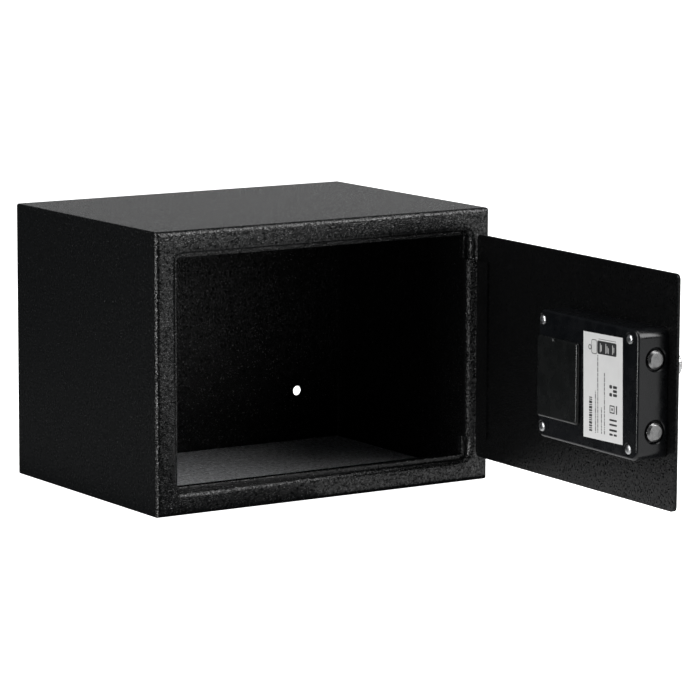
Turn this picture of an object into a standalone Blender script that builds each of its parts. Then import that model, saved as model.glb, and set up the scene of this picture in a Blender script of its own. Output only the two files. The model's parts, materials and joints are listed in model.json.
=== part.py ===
"""In room safe: a small steel cabinet whose door carries an electronic lock with two round bolts.

Row frame: +X to the right seen from the front, +Y to the back, +Z up. The origin is the centre of
the floor of the cabinet. The door is drawn shut and then swung open about its hinge, by hanging
all its pieces on one empty that stands on the hinge axis.
"""
import math

import bmesh
import bpy
from mathutils import Matrix, Vector

MM = 0.001

# Cabinet
WIDTH = 350 * MM
DEPTH = 250 * MM
HEIGHT = 250 * MM
SHEET = 1.5 * MM
ANCHOR_X = 127.0 * MM             # anchor holes in the rear wall, on each side
ANCHOR_Z = 51.0 * MM
ANCHOR_R = 4.6 * MM
WRAP_R = 2.0 * MM                 # outer radius of the folded tube's long edges
EDGE_R = 4.0 * MM                 # outer edge of the front frame
GAP = 0.3 * MM                    # gap between pieces that touch
FRONT = -DEPTH / 2
BACK = DEPTH / 2
HALF_W = WIDTH / 2
MID_Z = HEIGHT / 2

# Front frame, as distances in from the cabinet's outer faces
FACE_W = 15.8 * MM                # flat face of the frame
WALL_IN = 20.3 * MM               # rebate wall
LIP_IN = 24.4 * MM                # lip behind the door stop
REBATE = 6.5 * MM                 # depth of the door stop
LIP_BACK = 13.5 * MM              # rear edge of the lip
CORNER_R = 11.0 * MM              # corner of the opening at the frame's face
NOTCH_X = 158.6 * MM              # end of the notch the hinge leaf passes through
FRAME_RETURN = 4.2 * MM           # how far the frame's outer edge turns back

# Door and hinge
DOOR_T = 3.0 * MM
DOOR_Y = FRONT + 3.1 * MM         # outer face of the shut door
DOOR_IN_Y = DOOR_Y + DOOR_T
DOOR_X0 = -153.9 * MM             # free edge
DOOR_X1 = 153.6 * MM              # hinge edge
DOOR_Z0 = 23.6 * MM
DOOR_Z1 = 227.2 * MM
DOOR_R = 4.5 * MM
DOOR_OPEN = math.radians(88.0)    # how far the door stands open at rest
PIN_X = 161.2 * MM
PIN_Y = FRONT + 4.4 * MM
PIN_R = 1.6 * MM
PIN_HOLE_R = 1.7 * MM
LEAF_Z0 = 42.0 * MM
LEAF_Z1 = 204.0 * MM
LEAF_T = 1.8 * MM
ARCH_X = PIN_X - 0.5 * MM         # middle of the arch that the leaf makes around the pin
ARCH_Y = PIN_Y + 2.0 * MM
ARCH_R = 7.5 * MM                 # radius of the arch's middle line
ARCH_START = 5                    # the arch runs between these angles, in degrees
ARCH_END = 140
FOLD_R = 1.9 * MM                 # radius of the fold between arch and flange, middle line
FLANGE_X = 133.4 * MM             # inner end of the flange on the door

# Lock housing on the door's inner face
BOX_X0 = -141.7 * MM
BOX_X1 = 7.3 * MM
BOX_Z0 = 68.0 * MM
BOX_Z1 = 180.0 * MM
BOX_H = 31.0 * MM
BOX_WALL = 2.2 * MM
BOX_Y0 = DOOR_IN_Y + GAP
BOX_Y1 = DOOR_IN_Y + BOX_H
BOX_R = 6.0 * MM
SCREW_XS = (-128.5 * MM, 1.4 * MM)
SCREW_ZS = (76.8 * MM, 171.2 * MM)
SCREW_HEAD_R = 4.4 * MM
SCREW_HEAD_H = 2.4 * MM
SCREW_R = 1.7 * MM
SCREW_POCKET_R = 5.3 * MM         # pocket a screw head sits in
SCREW_SINK = 1.8 * MM             # depth of that pocket

# Battery bay
BAY_X0 = -55.5 * MM
BAY_X1 = 3.5 * MM
BAY_Z0 = 92.5 * MM
BAY_Z1 = 152.5 * MM
BAY_FLOOR_Y = BOX_Y1 - 16.5 * MM
BAY_WALL = 1.4 * MM
CELL_R = 7.15 * MM
CELL_L = 49.0 * MM
COVER_X0 = -56.9 * MM
COVER_X1 = 4.6 * MM
COVER_Z0 = 86.5 * MM
COVER_Z1 = 158.0 * MM
COVER_H = 3.9 * MM
COVER_EDGE = 2.5 * MM

# Bolts and what drives them
BOLT_R = 8.2 * MM
BOLT_TIP_R = 6.8 * MM
BOLT_Y = DOOR_IN_Y + 12.8 * MM
BOLT_ZS = (92.0 * MM, 154.0 * MM)
BOLT_PROUD = 3.5 * MM             # how far a drawn bolt stands out of the housing
BOLT_L = 34.0 * MM
BOLT_HOLE_R = 10.3 * MM
KNOB_X = -116.2 * MM
KNOB_Z = 144.0 * MM
KNOB_TURN = math.radians(45.0)    # each way from the middle
CRANK_R = 9.0 * MM
DRIVE_R = 2.0 * MM
SPINDLE_R = 4.0 * MM
CHASSIS_Y0 = DOOR_IN_Y + GAP
CHASSIS_T = 1.5 * MM
CARRIAGE_Y0 = DOOR_IN_Y + 2.4 * MM
CARRIAGE_T = 2.0 * MM

# Solenoid whose plunger drops into a hole in the carriage
SOL_X = -93.0 * MM
SOL_Z = 116.0 * MM
BOLT_TRAVEL = 2 * CRANK_R * math.sin(KNOB_TURN)

# Front fascia and keypad
FASCIA_X0 = -139.0 * MM
FASCIA_X1 = 7.0 * MM
FASCIA_Z0 = 69.0 * MM
FASCIA_Z1 = 179.0 * MM
FASCIA_T = 6.0 * MM
FASCIA_Y1 = DOOR_Y - GAP
FASCIA_Y0 = FASCIA_Y1 - FASCIA_T
KEY_W = 16.5 * MM
KEY_H = 12.0 * MM
KEY_XS = (-63.0 * MM, -42.0 * MM, -21.0 * MM)
KEY_ZS = (152.0 * MM, 135.5 * MM, 119.0 * MM, 102.5 * MM)
LENS_Z = 168.0 * MM
LENS_R = 2.2 * MM

# Emergency key lock
LOCK_X = -88.0 * MM
LOCK_Z = 86.0 * MM
COVER_PIVOT_Z = 97.0 * MM

# Code reset button in the hinge side of the housing
RESET_Y = DOOR_IN_Y + 10.0 * MM
RESET_Z = 86.4 * MM
RESET_R = 3.0 * MM

COLOURS = {
    "powder_coat": ((0.022, 0.022, 0.024, 1), 0.55, 0.2),
    "door_coat": ((0.024, 0.024, 0.026, 1), 0.55, 0.2),
    "felt": ((0.045, 0.047, 0.047, 1), 0.95, 0.0),
    "black_plastic": ((0.018, 0.019, 0.020, 1), 0.38, 0.0),
    "bright_steel": ((0.62, 0.62, 0.61, 1), 0.22, 1.0),
    "zinc": ((0.48, 0.49, 0.50, 1), 0.35, 1.0),
    "satin_chrome": ((0.66, 0.66, 0.67, 1), 0.25, 1.0),
    "label": ((0.72, 0.72, 0.71, 1), 0.5, 0.0),
    "cell": ((0.05, 0.05, 0.06, 1), 0.35, 0.3),
    "board": ((0.02, 0.12, 0.05, 1), 0.4, 0.0),
    "key_rubber": ((0.14, 0.14, 0.15, 1), 0.6, 0.0),
    "lens": ((0.35, 0.05, 0.04, 1), 0.15, 0.0),
    "brass": ((0.60, 0.44, 0.18, 1), 0.3, 1.0),
    "coil": ((0.45, 0.16, 0.05, 1), 0.4, 0.4),
    "red_plastic": ((0.45, 0.02, 0.02, 1), 0.4, 0.0),
}


# ---------------------------------------------------------------- outlines

def circle(a, b, r, count=24):
    """Points of a circle around (a, b)."""
    step = 2 * math.pi / count
    return [(a + r * math.cos(i * step), b + r * math.sin(i * step)) for i in range(count)]


def rounded(a0, a1, b0, b1, r, steps=3):
    """Points of a rectangle with round corners, anticlockwise from its lower right corner."""
    points = []
    corners = ((a1 - r, b0 + r, -90), (a1 - r, b1 - r, 0), (a0 + r, b1 - r, 90), (a0 + r, b0 + r, 180))
    for a, b, first in corners:
        for i in range(steps + 1):
            angle = math.radians(first + 90 * i / steps)
            points.append((a + r * math.cos(angle), b + r * math.sin(angle)))
    return points


def offset_strip(middle, thickness):
    """Outline of a strip of sheet whose middle line is given."""
    left = []
    right = []
    for i, point in enumerate(middle):
        before = Vector(middle[max(i - 1, 0)])
        after = Vector(middle[min(i + 1, len(middle) - 1)])
        here = Vector(point)
        along = (after - before).normalized()
        side = Vector((-along.y, along.x)) * thickness / 2
        left.append(tuple(here + side))
        right.append(tuple(here - side))
    return left + right[::-1]


# ---------------------------------------------------------------- solids

def place3(axis, a, b, c):
    """A point from two in-plane values and one along the axis, in X, Y, Z order."""
    if axis == "x":
        return (c, a, b)
    if axis == "y":
        return (a, c, b)
    return (a, b, c)


def finish_mesh(name, bm, smooth=35):
    """Turn a bmesh into an object with outward faces and soft shading below an angle."""
    bmesh.ops.recalc_face_normals(bm, faces=bm.faces)
    mesh = bpy.data.meshes.new(name)
    bm.to_mesh(mesh)
    bm.free()
    mesh.shade_smooth()
    mesh.set_sharp_from_angle(angle=math.radians(smooth))
    obj = bpy.data.objects.new(name, mesh)
    bpy.context.scene.collection.objects.link(obj)
    return obj


def loft(name, rings, closed=False):
    """A solid through rings of equally many points; closed joins the last ring to the first."""
    bm = bmesh.new()
    rows = [[bm.verts.new(point) for point in ring] for ring in rings]
    count = len(rows[0])
    pairs = list(zip(rows, rows[1:]))
    if closed:
        pairs.append((rows[-1], rows[0]))
    else:
        bm.faces.new(rows[0][::-1])
        bm.faces.new(rows[-1])
    for low, high in pairs:
        for i in range(count):
            j = (i + 1) % count
            bm.faces.new((low[i], low[j], high[j], high[i]))
    return finish_mesh(name, bm)


def prism(name, outline, axis, low, high):
    """An outline pushed along an axis."""
    rings = [[place3(axis, a, b, c) for a, b in outline] for c in (low, high)]
    return loft(name, rings)


def stepped(name, layers, axis):
    """A solid through (outline, position along the axis) layers."""
    return loft(name, [[place3(axis, a, b, c) for a, b in outline] for outline, c in layers])


def box(name, x0, x1, y0, y1, z0, z1):
    return prism(name, [(x0, y0), (x1, y0), (x1, y1), (x0, y1)], "z", z0, z1)


def cylinder(name, axis, a, b, r, low, high, count=20):
    return prism(name, circle(a, b, r, count), axis, low, high)


def turned(name, profile, axis, a, b, count=20):
    """A turned piece from (position along the axis, radius) pairs."""
    return stepped(name, [(circle(a, b, r, count), c) for c, r in profile], axis)


def soft_box(name, a0, a1, b0, b1, r, axis, low, high, edge, steps=3):
    """A rounded rectangle pushed along an axis, with its edge at high rounded by edge."""
    layers = [(rounded(a0, a1, b0, b1, r, steps), low)]
    turn = 1 if high > low else -1
    for i in range(3):
        angle = math.pi / 2 * i / 2
        inset = edge * (1 - math.cos(angle))
        layers.append((rounded(a0 + inset, a1 - inset, b0 + inset, b1 - inset, r - inset, steps),
                       high - turn * edge * (1 - math.sin(angle))))
    return stepped(name, layers, axis)


def combine(obj, operation, others):
    """Apply a Boolean of obj with the others, which are used up."""
    for other in others:
        modifier = obj.modifiers.new("shape", "BOOLEAN")
        modifier.operation = operation
        modifier.solver = "EXACT"
        modifier.object = other
        graph = bpy.context.evaluated_depsgraph_get()
        result = bpy.data.meshes.new_from_object(obj.evaluated_get(graph))
        obj.modifiers.clear()
        obj.data = result
        bpy.data.objects.remove(other)
    obj.data.name = obj.name
    return obj


def cut(obj, *others):
    return combine(obj, "DIFFERENCE", others)


def unite(obj, *others):
    return combine(obj, "UNION", others)


# ---------------------------------------------------------------- materials and placing

def material(name, look):
    colour, roughness, metallic = COLOURS[look]
    mat = bpy.data.materials.new(name)
    mat.use_nodes = True
    shader = mat.node_tree.nodes["Principled BSDF"]
    shader.inputs["Base Color"].default_value = colour
    shader.inputs["Roughness"].default_value = roughness
    shader.inputs["Metallic"].default_value = metallic
    mat.diffuse_color = colour
    return mat


def paint(obj, look):
    """Give a piece its own material."""
    obj.data.materials.clear()
    obj.data.materials.append(material(obj.name, look))
    return obj


def hang(obj, door, look, origin=None):
    """Hang a piece on the door; a moving one gets its origin at a point on its joint's axis."""
    point = Vector(origin) if origin else Vector((PIN_X, PIN_Y, 0.0))
    obj.data.transform(Matrix.Translation(-point))
    obj.parent = door
    obj.location = point - Vector((PIN_X, PIN_Y, 0.0))
    return paint(obj, look)


# ---------------------------------------------------------------- cabinet

def make_body_wrap():
    """Top, sides and floor: one sheet bent into a tube."""
    outer = rounded(-HALF_W, HALF_W, 0, HEIGHT, WRAP_R)
    inner = rounded(-HALF_W + SHEET, HALF_W - SHEET, SHEET, HEIGHT - SHEET, WRAP_R - SHEET)
    start = FRONT + FRAME_RETURN + GAP
    rings = [[(x, y, z) for x, z in outline] for outline, y in
             ((outer, start), (outer, BACK), (inner, BACK), (inner, start))]
    return paint(loft("body_wrap", rings, closed=True), "powder_coat")


def make_rear_panel():
    """Rear wall inside the tube, with two anchor holes."""
    edge = SHEET + GAP
    outline = rounded(-HALF_W + edge, HALF_W - edge, edge, HEIGHT - edge, 0.6 * MM)
    panel = prism("rear_panel", outline, "y", BACK - SHEET, BACK)
    holes = [cylinder("hole", "y", x, ANCHOR_Z, ANCHOR_R, BACK - 5 * MM, BACK + 5 * MM, 24)
             for x in (-ANCHOR_X, ANCHOR_X)]
    return paint(cut(panel, *holes), "powder_coat")


def frame_ring(inset, y, radius):
    """One loop of the front frame, a given distance in from the cabinet's faces."""
    loop = rounded(-HALF_W + inset, HALF_W - inset, inset, HEIGHT - inset, radius, steps=4)
    return [(x, FRONT + y, z) for x, z in loop]


def bend(inset, y, radius, first, last, steps=3):
    """Inset and depth pairs round a bend in the frame's section, angles in degrees."""
    pairs = []
    for i in range(steps + 1):
        angle = math.radians(first + (last - first) * i / steps)
        pairs.append((inset + radius * math.cos(angle), y + radius * math.sin(angle)))
    return pairs


def make_front_frame():
    """Pressed frame: face, rounded edge, rebate wall, door stop and lip, in one sheet."""
    face_r = WALL_IN - FACE_W
    stop_r = 1.0 * MM
    section = [(0.0, FRAME_RETURN)]
    section += bend(EDGE_R, EDGE_R, EDGE_R, 180, 270)
    section += bend(FACE_W, face_r, face_r, 270, 360)
    section += [(WALL_IN, REBATE)]
    section += bend(LIP_IN - stop_r, REBATE + stop_r, stop_r, 270, 360, steps=2)
    section += [(LIP_IN, LIP_BACK), (LIP_IN - SHEET, LIP_BACK)]
    section += [(LIP_IN - SHEET, REBATE + SHEET), (WALL_IN - SHEET, REBATE + SHEET)]
    section += bend(FACE_W, face_r, face_r - SHEET, 360, 270)
    section += bend(EDGE_R, EDGE_R, EDGE_R - SHEET, 270, 180)
    section += [(SHEET, FRAME_RETURN)]
    rings = []
    for inset, y in section:
        reach = max(inset - FACE_W, 0.0)
        radius = CORNER_R - reach if inset > FACE_W / 2 else max(WRAP_R - inset, 0.4 * MM)
        rings.append(frame_ring(inset, y, radius))
    frame = loft("front_frame", rings, closed=True)
    leaf_notch = box("cut", HALF_W - 40 * MM, NOTCH_X, FRONT - 5 * MM, FRONT + 40 * MM,
                     LEAF_Z0 - 1 * MM, LEAF_Z1 + 1 * MM)
    notch_half = BOLT_R + 1.3 * MM
    bolt_notches = [box("cut", -HALF_W + WALL_IN - SHEET - 2 * MM, -HALF_W + 30 * MM,
                        FRONT + REBATE + SHEET + 1.2 * MM, FRONT + 30 * MM, z - notch_half, z + notch_half)
                    for z in BOLT_ZS]
    return paint(cut(frame, leaf_notch, *bolt_notches), "powder_coat")


def make_floor_mat():
    edge = SHEET + 1.5 * MM
    outline = rounded(-HALF_W + edge, HALF_W - edge, FRONT + 22 * MM, BACK - edge, 3 * MM)
    return paint(prism("floor_mat", outline, "z", SHEET + GAP, SHEET + GAP + 2.5 * MM), "felt")


def make_hinge_bracket(name, z0, z1, foot_z0, foot_z1):
    """Lug behind the frame that holds one hinge pin, with a foot against the side wall."""
    wall = HALF_W - SHEET - GAP
    near, far = FRONT + 2.2 * MM, FRONT + 14 * MM
    outline = [(158.2 * MM, near), (169 * MM, near), (wall, near + 2.8 * MM), (wall, far), (158.2 * MM, far)]
    lug = prism(name, outline, "z", z0, z1)
    foot = box("foot", wall - 2 * MM, wall, near + 2.8 * MM, far, foot_z0, foot_z1)
    hole = cylinder("hole", "z", PIN_X, PIN_Y, PIN_HOLE_R, z0 - 5 * MM, z1 + 5 * MM)
    return paint(cut(unite(lug, foot), hole), "powder_coat")


# ---------------------------------------------------------------- door and hinge

def make_door_panel(door):
    panel = soft_box("door_panel", DOOR_X0, DOOR_X1, DOOR_Z0, DOOR_Z1, DOOR_R, "y", DOOR_IN_Y, DOOR_Y,
                     0.6 * MM)
    low, high = DOOR_Y - 5 * MM, DOOR_IN_Y + 5 * MM
    holes = [cylinder("cut", "y", KNOB_X, KNOB_Z, SPINDLE_R + 0.4 * MM, low, high),
             cylinder("cut", "y", LOCK_X, LOCK_Z, 8.5 * MM, low, high),
             prism("cut", rounded(-30 * MM, -6 * MM, 84 * MM, 92 * MM, 3 * MM), "y", low, high)]
    holes += [cylinder("cut", "y", x, z, SCREW_R + 0.4 * MM, low, high, 12) for x in SCREW_XS for z in SCREW_ZS]
    return hang(cut(panel, *holes), door, "door_coat")


def arch_point(angle, radius=ARCH_R):
    """A point on a circle about the middle of the hinge leaf's arch."""
    return (ARCH_X + radius * math.cos(angle), ARCH_Y + radius * math.sin(angle))


def leaf_middle_line():
    """Middle line of the hinge leaf: arch around the pin, straight slope, fold and flange."""
    first, last = math.radians(ARCH_START), math.radians(ARCH_END)
    line = [arch_point(first + (last - first) * i / 9) for i in range(10)]
    fold_y = DOOR_IN_Y + GAP + LEAF_T / 2 + FOLD_R
    fold_x = ARCH_X + (ARCH_R + FOLD_R - (fold_y - ARCH_Y) * math.sin(last)) / math.cos(last)
    for i in range(5):
        angle = last - math.pi + (math.pi / 2 - last) * i / 4
        line.append((fold_x + FOLD_R * math.cos(angle), fold_y + FOLD_R * math.sin(angle)))
    line.append((FLANGE_X, fold_y - FOLD_R))
    return line[::-1]


def make_hinge_leaf(door):
    """Strip that reaches around the frame's edge, with a tab at each end that carries a pin."""
    leaf = prism("hinge_leaf", offset_strip(leaf_middle_line(), LEAF_T), "z", LEAF_Z0, LEAF_Z1)
    boss = 2.5 * MM
    tab = [(PIN_X - boss, PIN_Y), (PIN_X - boss * 0.7, PIN_Y - boss * 0.7), (PIN_X, PIN_Y - boss),
           (PIN_X + 5 * MM, PIN_Y - boss)]
    tab += [arch_point(math.radians(10 + 20 * i)) for i in range(5)]
    tabs = [prism("tab", tab, "z", LEAF_Z0, LEAF_Z0 + LEAF_T), prism("tab", tab, "z", LEAF_Z1 - LEAF_T, LEAF_Z1)]
    hole = cylinder("hole", "z", PIN_X, PIN_Y, PIN_HOLE_R, LEAF_Z0 - 5 * MM, LEAF_Z1 + 5 * MM)
    return hang(cut(unite(leaf, *tabs), hole), door, "door_coat")


def make_hinge_pins(door):
    """Short pins held by the leaf's end tabs."""
    for name, low, high in (("hinge_pin_lower", 33.5 * MM, 47 * MM), ("hinge_pin_upper", 199 * MM, 212.5 * MM)):
        profile = [(low, PIN_R - 0.4 * MM), (low + 0.5 * MM, PIN_R), (high - 0.5 * MM, PIN_R),
                   (high, PIN_R - 0.4 * MM)]
        hang(turned(name, profile, "z", PIN_X, PIN_Y), door, "zinc")


# ---------------------------------------------------------------- lock housing

def make_lock_housing(door):
    """Plastic shell open towards the door, with screw bosses, battery bay and bolt holes."""
    shell = soft_box("lock_housing", BOX_X0, BOX_X1, BOX_Z0, BOX_Z1, BOX_R, "y", BOX_Y0, BOX_Y1, 2.4 * MM, 4)
    inner = prism("cut", rounded(BOX_X0 + BOX_WALL, BOX_X1 - BOX_WALL, BOX_Z0 + BOX_WALL, BOX_Z1 - BOX_WALL,
                                 BOX_R - BOX_WALL), "y", BOX_Y0 - 5 * MM, BOX_Y1 - BOX_WALL)
    cut(shell, inner)
    bosses = [cylinder("boss", "y", x, z, 5.0 * MM, BOX_Y0, BOX_Y1 - 1 * MM, 14)
              for x in SCREW_XS for z in SCREW_ZS]
    bay = box("bay", BAY_X0 - BAY_WALL, BAY_X1 + BAY_WALL, BAY_FLOOR_Y - BAY_WALL, BOX_Y1 - 1 * MM,
              BAY_Z0 - BAY_WALL, BAY_Z1 + BAY_WALL)
    unite(shell, bay, *bosses)
    tools = [prism("cut", rounded(BAY_X0, BAY_X1, BAY_Z0, BAY_Z1, 1.5 * MM), "y", BAY_FLOOR_Y, BOX_Y1 + 5 * MM)]
    for x in SCREW_XS:
        for z in SCREW_ZS:
            tools.append(cylinder("cut", "y", x, z, SCREW_R + 0.3 * MM, BOX_Y0 - 5 * MM, BOX_Y1 + 5 * MM, 12))
            tools.append(cylinder("cut", "y", x, z, SCREW_POCKET_R, BOX_Y1 - SCREW_SINK, BOX_Y1 + 5 * MM, 24))
    for z in BOLT_ZS:
        tools.append(cylinder("cut", "x", BOLT_Y, z, BOLT_HOLE_R, BOX_X0 - 5 * MM, BOX_X0 + 5 * MM, 32))
    tools.append(cylinder("cut", "x", RESET_Y, RESET_Z, RESET_R + 0.4 * MM, BOX_X1 - 5 * MM, BOX_X1 + 5 * MM, 16))
    tools += [box("cut", x - 3.2 * MM, x + 3.2 * MM, BOX_Y1 - 5 * MM, BOX_Y1 + 5 * MM, BAY_Z0 - 4.6 * MM,
                  BAY_Z0 - 2.2 * MM) for x in (-44 * MM, -8 * MM)]
    return hang(cut(shell, *tools), door, "black_plastic")


def make_housing_screws(door):
    """Pan head screws with a cross recess, through the housing and the door into the fascia."""
    seat = BOX_Y1 - SCREW_SINK + GAP
    top = seat + SCREW_HEAD_H
    tip = FASCIA_Y1 - 3.5 * MM
    names = iter(("housing_screw_1", "housing_screw_2", "housing_screw_3", "housing_screw_4"))
    for x in SCREW_XS:
        for z in SCREW_ZS:
            profile = [(tip, SCREW_R * 0.6), (tip + 1 * MM, SCREW_R), (seat, SCREW_R), (seat, SCREW_HEAD_R),
                       (seat + 0.8 * MM, SCREW_HEAD_R), (seat + 1.7 * MM, SCREW_HEAD_R * 0.82),
                       (top, SCREW_HEAD_R * 0.45)]
            screw = turned(next(names), profile, "y", x, z, 16)
            slots = [box("cut", x - 2.1 * MM, x + 2.1 * MM, top - 1.3 * MM, top + 2 * MM, z - 0.45 * MM,
                         z + 0.45 * MM),
                     box("cut", x - 0.45 * MM, x + 0.45 * MM, top - 1.3 * MM, top + 2 * MM, z - 2.1 * MM,
                         z + 2.1 * MM)]
            hang(cut(screw, *slots), door, "zinc")


def make_rating_label(door):
    """Pale sticker, set on by hand a little out of square."""
    x, z = -91.2 * MM, 124.5 * MM
    half_w, half_h = 29 * MM, 45.7 * MM
    tilt = math.radians(-1.4)
    corners = [(-half_w, -half_h), (half_w, -half_h), (half_w, half_h), (-half_w, half_h)]
    outline = [(x + a * math.cos(tilt) - b * math.sin(tilt), z + a * math.sin(tilt) + b * math.cos(tilt))
               for a, b in corners]
    hang(prism("rating_label", outline, "y", BOX_Y1 + 0.05 * MM, BOX_Y1 + 0.3 * MM), door, "label")


def make_battery_cover(door):
    """Shallow raised lid with two tongues and a finger notch."""
    low = BOX_Y1 + GAP
    high = BOX_Y1 + COVER_H
    lid = soft_box("battery_cover", COVER_X0, COVER_X1, COVER_Z0, COVER_Z1, 3.2 * MM, "y", low, high, COVER_EDGE, 4)
    hollow = prism("cut", rounded(COVER_X0 + 1.6 * MM, COVER_X1 - 1.6 * MM, COVER_Z0 + 1.6 * MM,
                                  COVER_Z1 - 1.6 * MM, 1.6 * MM), "y", low - 5 * MM, high - 1.4 * MM)
    cut(lid, hollow)
    tongues = [box("tongue", x - 2.8 * MM, x + 2.8 * MM, BOX_Y1 - 2.4 * MM, high - 0.6 * MM,
                   BAY_Z0 - 4.2 * MM, BAY_Z0 - 2.6 * MM) for x in (-44 * MM, -8 * MM)]
    unite(lid, *tongues)
    notch = cylinder("cut", "y", -22.5 * MM, COVER_Z1 + 0.5 * MM, 4.6 * MM, high - 0.9 * MM, high + 5 * MM, 20)
    origin = ((COVER_X0 + COVER_X1) / 2, BOX_Y1, (COVER_Z0 + COVER_Z1) / 2)
    hang(cut(lid, notch), door, "black_plastic", origin)


def make_batteries(door):
    """Four upright round cells in a row, turned end for end, between two contact strips."""
    pitch = (BAY_X1 - BAY_X0) / 4
    y = BAY_FLOOR_Y + GAP + CELL_R
    middle = (BAY_Z0 + BAY_Z1) / 2
    for i in range(4):
        x = BAY_X0 + pitch * (i + 0.5)
        low, high = middle - CELL_L / 2, middle + CELL_L / 2
        if i % 2:
            low, high = high, low
        step = 0.5 * MM if high > low else -0.5 * MM
        profile = [(low, CELL_R - 0.5 * MM), (low + step, CELL_R), (high - step, CELL_R), (high, CELL_R - 0.5 * MM),
                   (high, 2.7 * MM), (high + 2 * step, 2.7 * MM)]
        hang(turned("battery_cell_%d" % (i + 1), profile, "z", x, y, 16), door, "cell")
    for name, z0, z1 in (("battery_contacts_lower", BAY_Z0 + GAP, BAY_Z0 + 0.9 * MM),
                         ("battery_contacts_upper", BAY_Z1 - 0.9 * MM, BAY_Z1 - GAP)):
        strip = box(name, BAY_X0 + 2 * MM, BAY_X1 - 2 * MM, BAY_FLOOR_Y + 1 * MM, BAY_FLOOR_Y + 13 * MM, z0, z1)
        hang(strip, door, "zinc")


# ---------------------------------------------------------------- mechanism

def make_lock_chassis(door):
    """Steel base plate on the door with an upright ear that guides both bolts."""
    y1 = CHASSIS_Y0 + CHASSIS_T
    base = prism("lock_chassis", rounded(-137 * MM, -74 * MM, 82.2 * MM, 165.8 * MM, 1 * MM), "y", CHASSIS_Y0, y1)
    ear = box("ear", -137 * MM, -135.2 * MM, CHASSIS_Y0 + 0.5 * MM, BOLT_Y + BOLT_R + 3.5 * MM, 82.2 * MM, 165.8 * MM)
    unite(base, ear)
    tools = [cylinder("cut", "x", BOLT_Y, z, BOLT_R + 0.3 * MM, -145 * MM, -130 * MM, 28) for z in BOLT_ZS]
    tools.append(cylinder("cut", "y", KNOB_X, KNOB_Z, CRANK_R + 5 * MM, y1 - 10 * MM, y1 + 5 * MM, 24))
    tools.append(cylinder("cut", "y", LOCK_X, LOCK_Z, 10.5 * MM, y1 - 10 * MM, y1 + 5 * MM, 20))
    hang(cut(base, *tools), door, "zinc")


def make_bolts(door):
    """Round bolts with a wide chamfer at the tip."""
    tip = BOX_X0 - BOLT_PROUD
    for name, z in zip(("bolt_lower", "bolt_upper"), BOLT_ZS):
        profile = [(tip, BOLT_TIP_R), (tip + 0.3 * MM, BOLT_TIP_R + 0.25 * MM), (tip + 1.6 * MM, BOLT_R),
                   (tip + BOLT_L, BOLT_R)]
        hang(turned(name, profile, "x", BOLT_Y, z, 32), door, "bright_steel", (tip, BOLT_Y, z))


def make_bolt_carriage(door):
    """Sliding plate with a tab behind each bolt, a slot for the drive pin and a lock hole."""
    y0, y1 = CARRIAGE_Y0, CARRIAGE_Y0 + CARRIAGE_T
    rear = BOX_X0 - BOLT_PROUD + BOLT_L + GAP
    plate = box("bolt_carriage", -118.5 * MM, rear + 6 * MM, y0, y1, BOLT_ZS[0] - 8 * MM, BOLT_ZS[1] + 8 * MM)
    tail = box("tail", rear - 2 * MM, SOL_X + BOLT_TRAVEL + 6.5 * MM, y0, y1, SOL_Z - 7 * MM, SOL_Z + 7 * MM)
    tabs = [box("tab", rear, rear + 2 * MM, y0 + 0.4 * MM, BOLT_Y + 6 * MM, z - 6.5 * MM, z + 6.5 * MM)
            for z in BOLT_ZS]
    unite(plate, tail, *tabs)
    drive_x = KNOB_X + CRANK_R * math.sin(KNOB_TURN)
    rise = CRANK_R * (1 - math.cos(KNOB_TURN))
    slot_half = DRIVE_R + 0.5 * MM
    slot = prism("cut", rounded(drive_x - slot_half, drive_x + slot_half, KNOB_Z - CRANK_R - slot_half,
                                KNOB_Z - CRANK_R + rise + slot_half, slot_half - 0.1 * MM), "y",
                 y0 - 5 * MM, y1 + 5 * MM)
    hole = cylinder("cut", "y", SOL_X + BOLT_TRAVEL, SOL_Z, 3.5 * MM, y0 - 5 * MM, y1 + 5 * MM, 16)
    hang(cut(plate, slot, hole), door, "zinc", (rear, y0, SOL_Z))


def make_knob(door):
    """Round turning knob: skirt, slightly tapered body and an indicator groove on its face."""
    base = FASCIA_Y0 - 0.5 * MM
    face = base - 17 * MM
    profile = [(base, 15.0 * MM), (base - 2.5 * MM, 15.4 * MM), (base - 3.6 * MM, 14.6 * MM),
               (base - 4.4 * MM, 12.2 * MM), (base - 6 * MM, 11.5 * MM), (face + 2.4 * MM, 10.8 * MM),
               (face + 0.8 * MM, 10.1 * MM), (face, 8.8 * MM)]
    knob = turned("knob", profile, "y", KNOB_X, KNOB_Z, 32)
    groove = box("cut", -0.8 * MM, 0.8 * MM, face - 5 * MM, face + 0.6 * MM, 2 * MM, 20 * MM)
    groove.data.transform(Matrix.Rotation(-KNOB_TURN, 4, "Y"))
    groove.data.transform(Matrix.Translation((KNOB_X, 0, KNOB_Z)))
    socket = cylinder("cut", "y", KNOB_X, KNOB_Z, SPINDLE_R + GAP, face + 8.5 * MM, base + 5 * MM)
    hang(cut(knob, groove, socket), door, "satin_chrome", (KNOB_X, DOOR_Y, KNOB_Z))


def make_knob_spindle(door):
    """Spindle through the door, flush with the crank."""
    base = FASCIA_Y0 - 0.5 * MM
    crank_y = DOOR_IN_Y + 0.4 * MM
    profile = [(base - 8 * MM, SPINDLE_R - 0.5 * MM), (base - 7.5 * MM, SPINDLE_R), (crank_y - GAP, SPINDLE_R)]
    hang(turned("knob_spindle", profile, "y", KNOB_X, KNOB_Z), door, "zinc", (KNOB_X, DOOR_Y, KNOB_Z))


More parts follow.
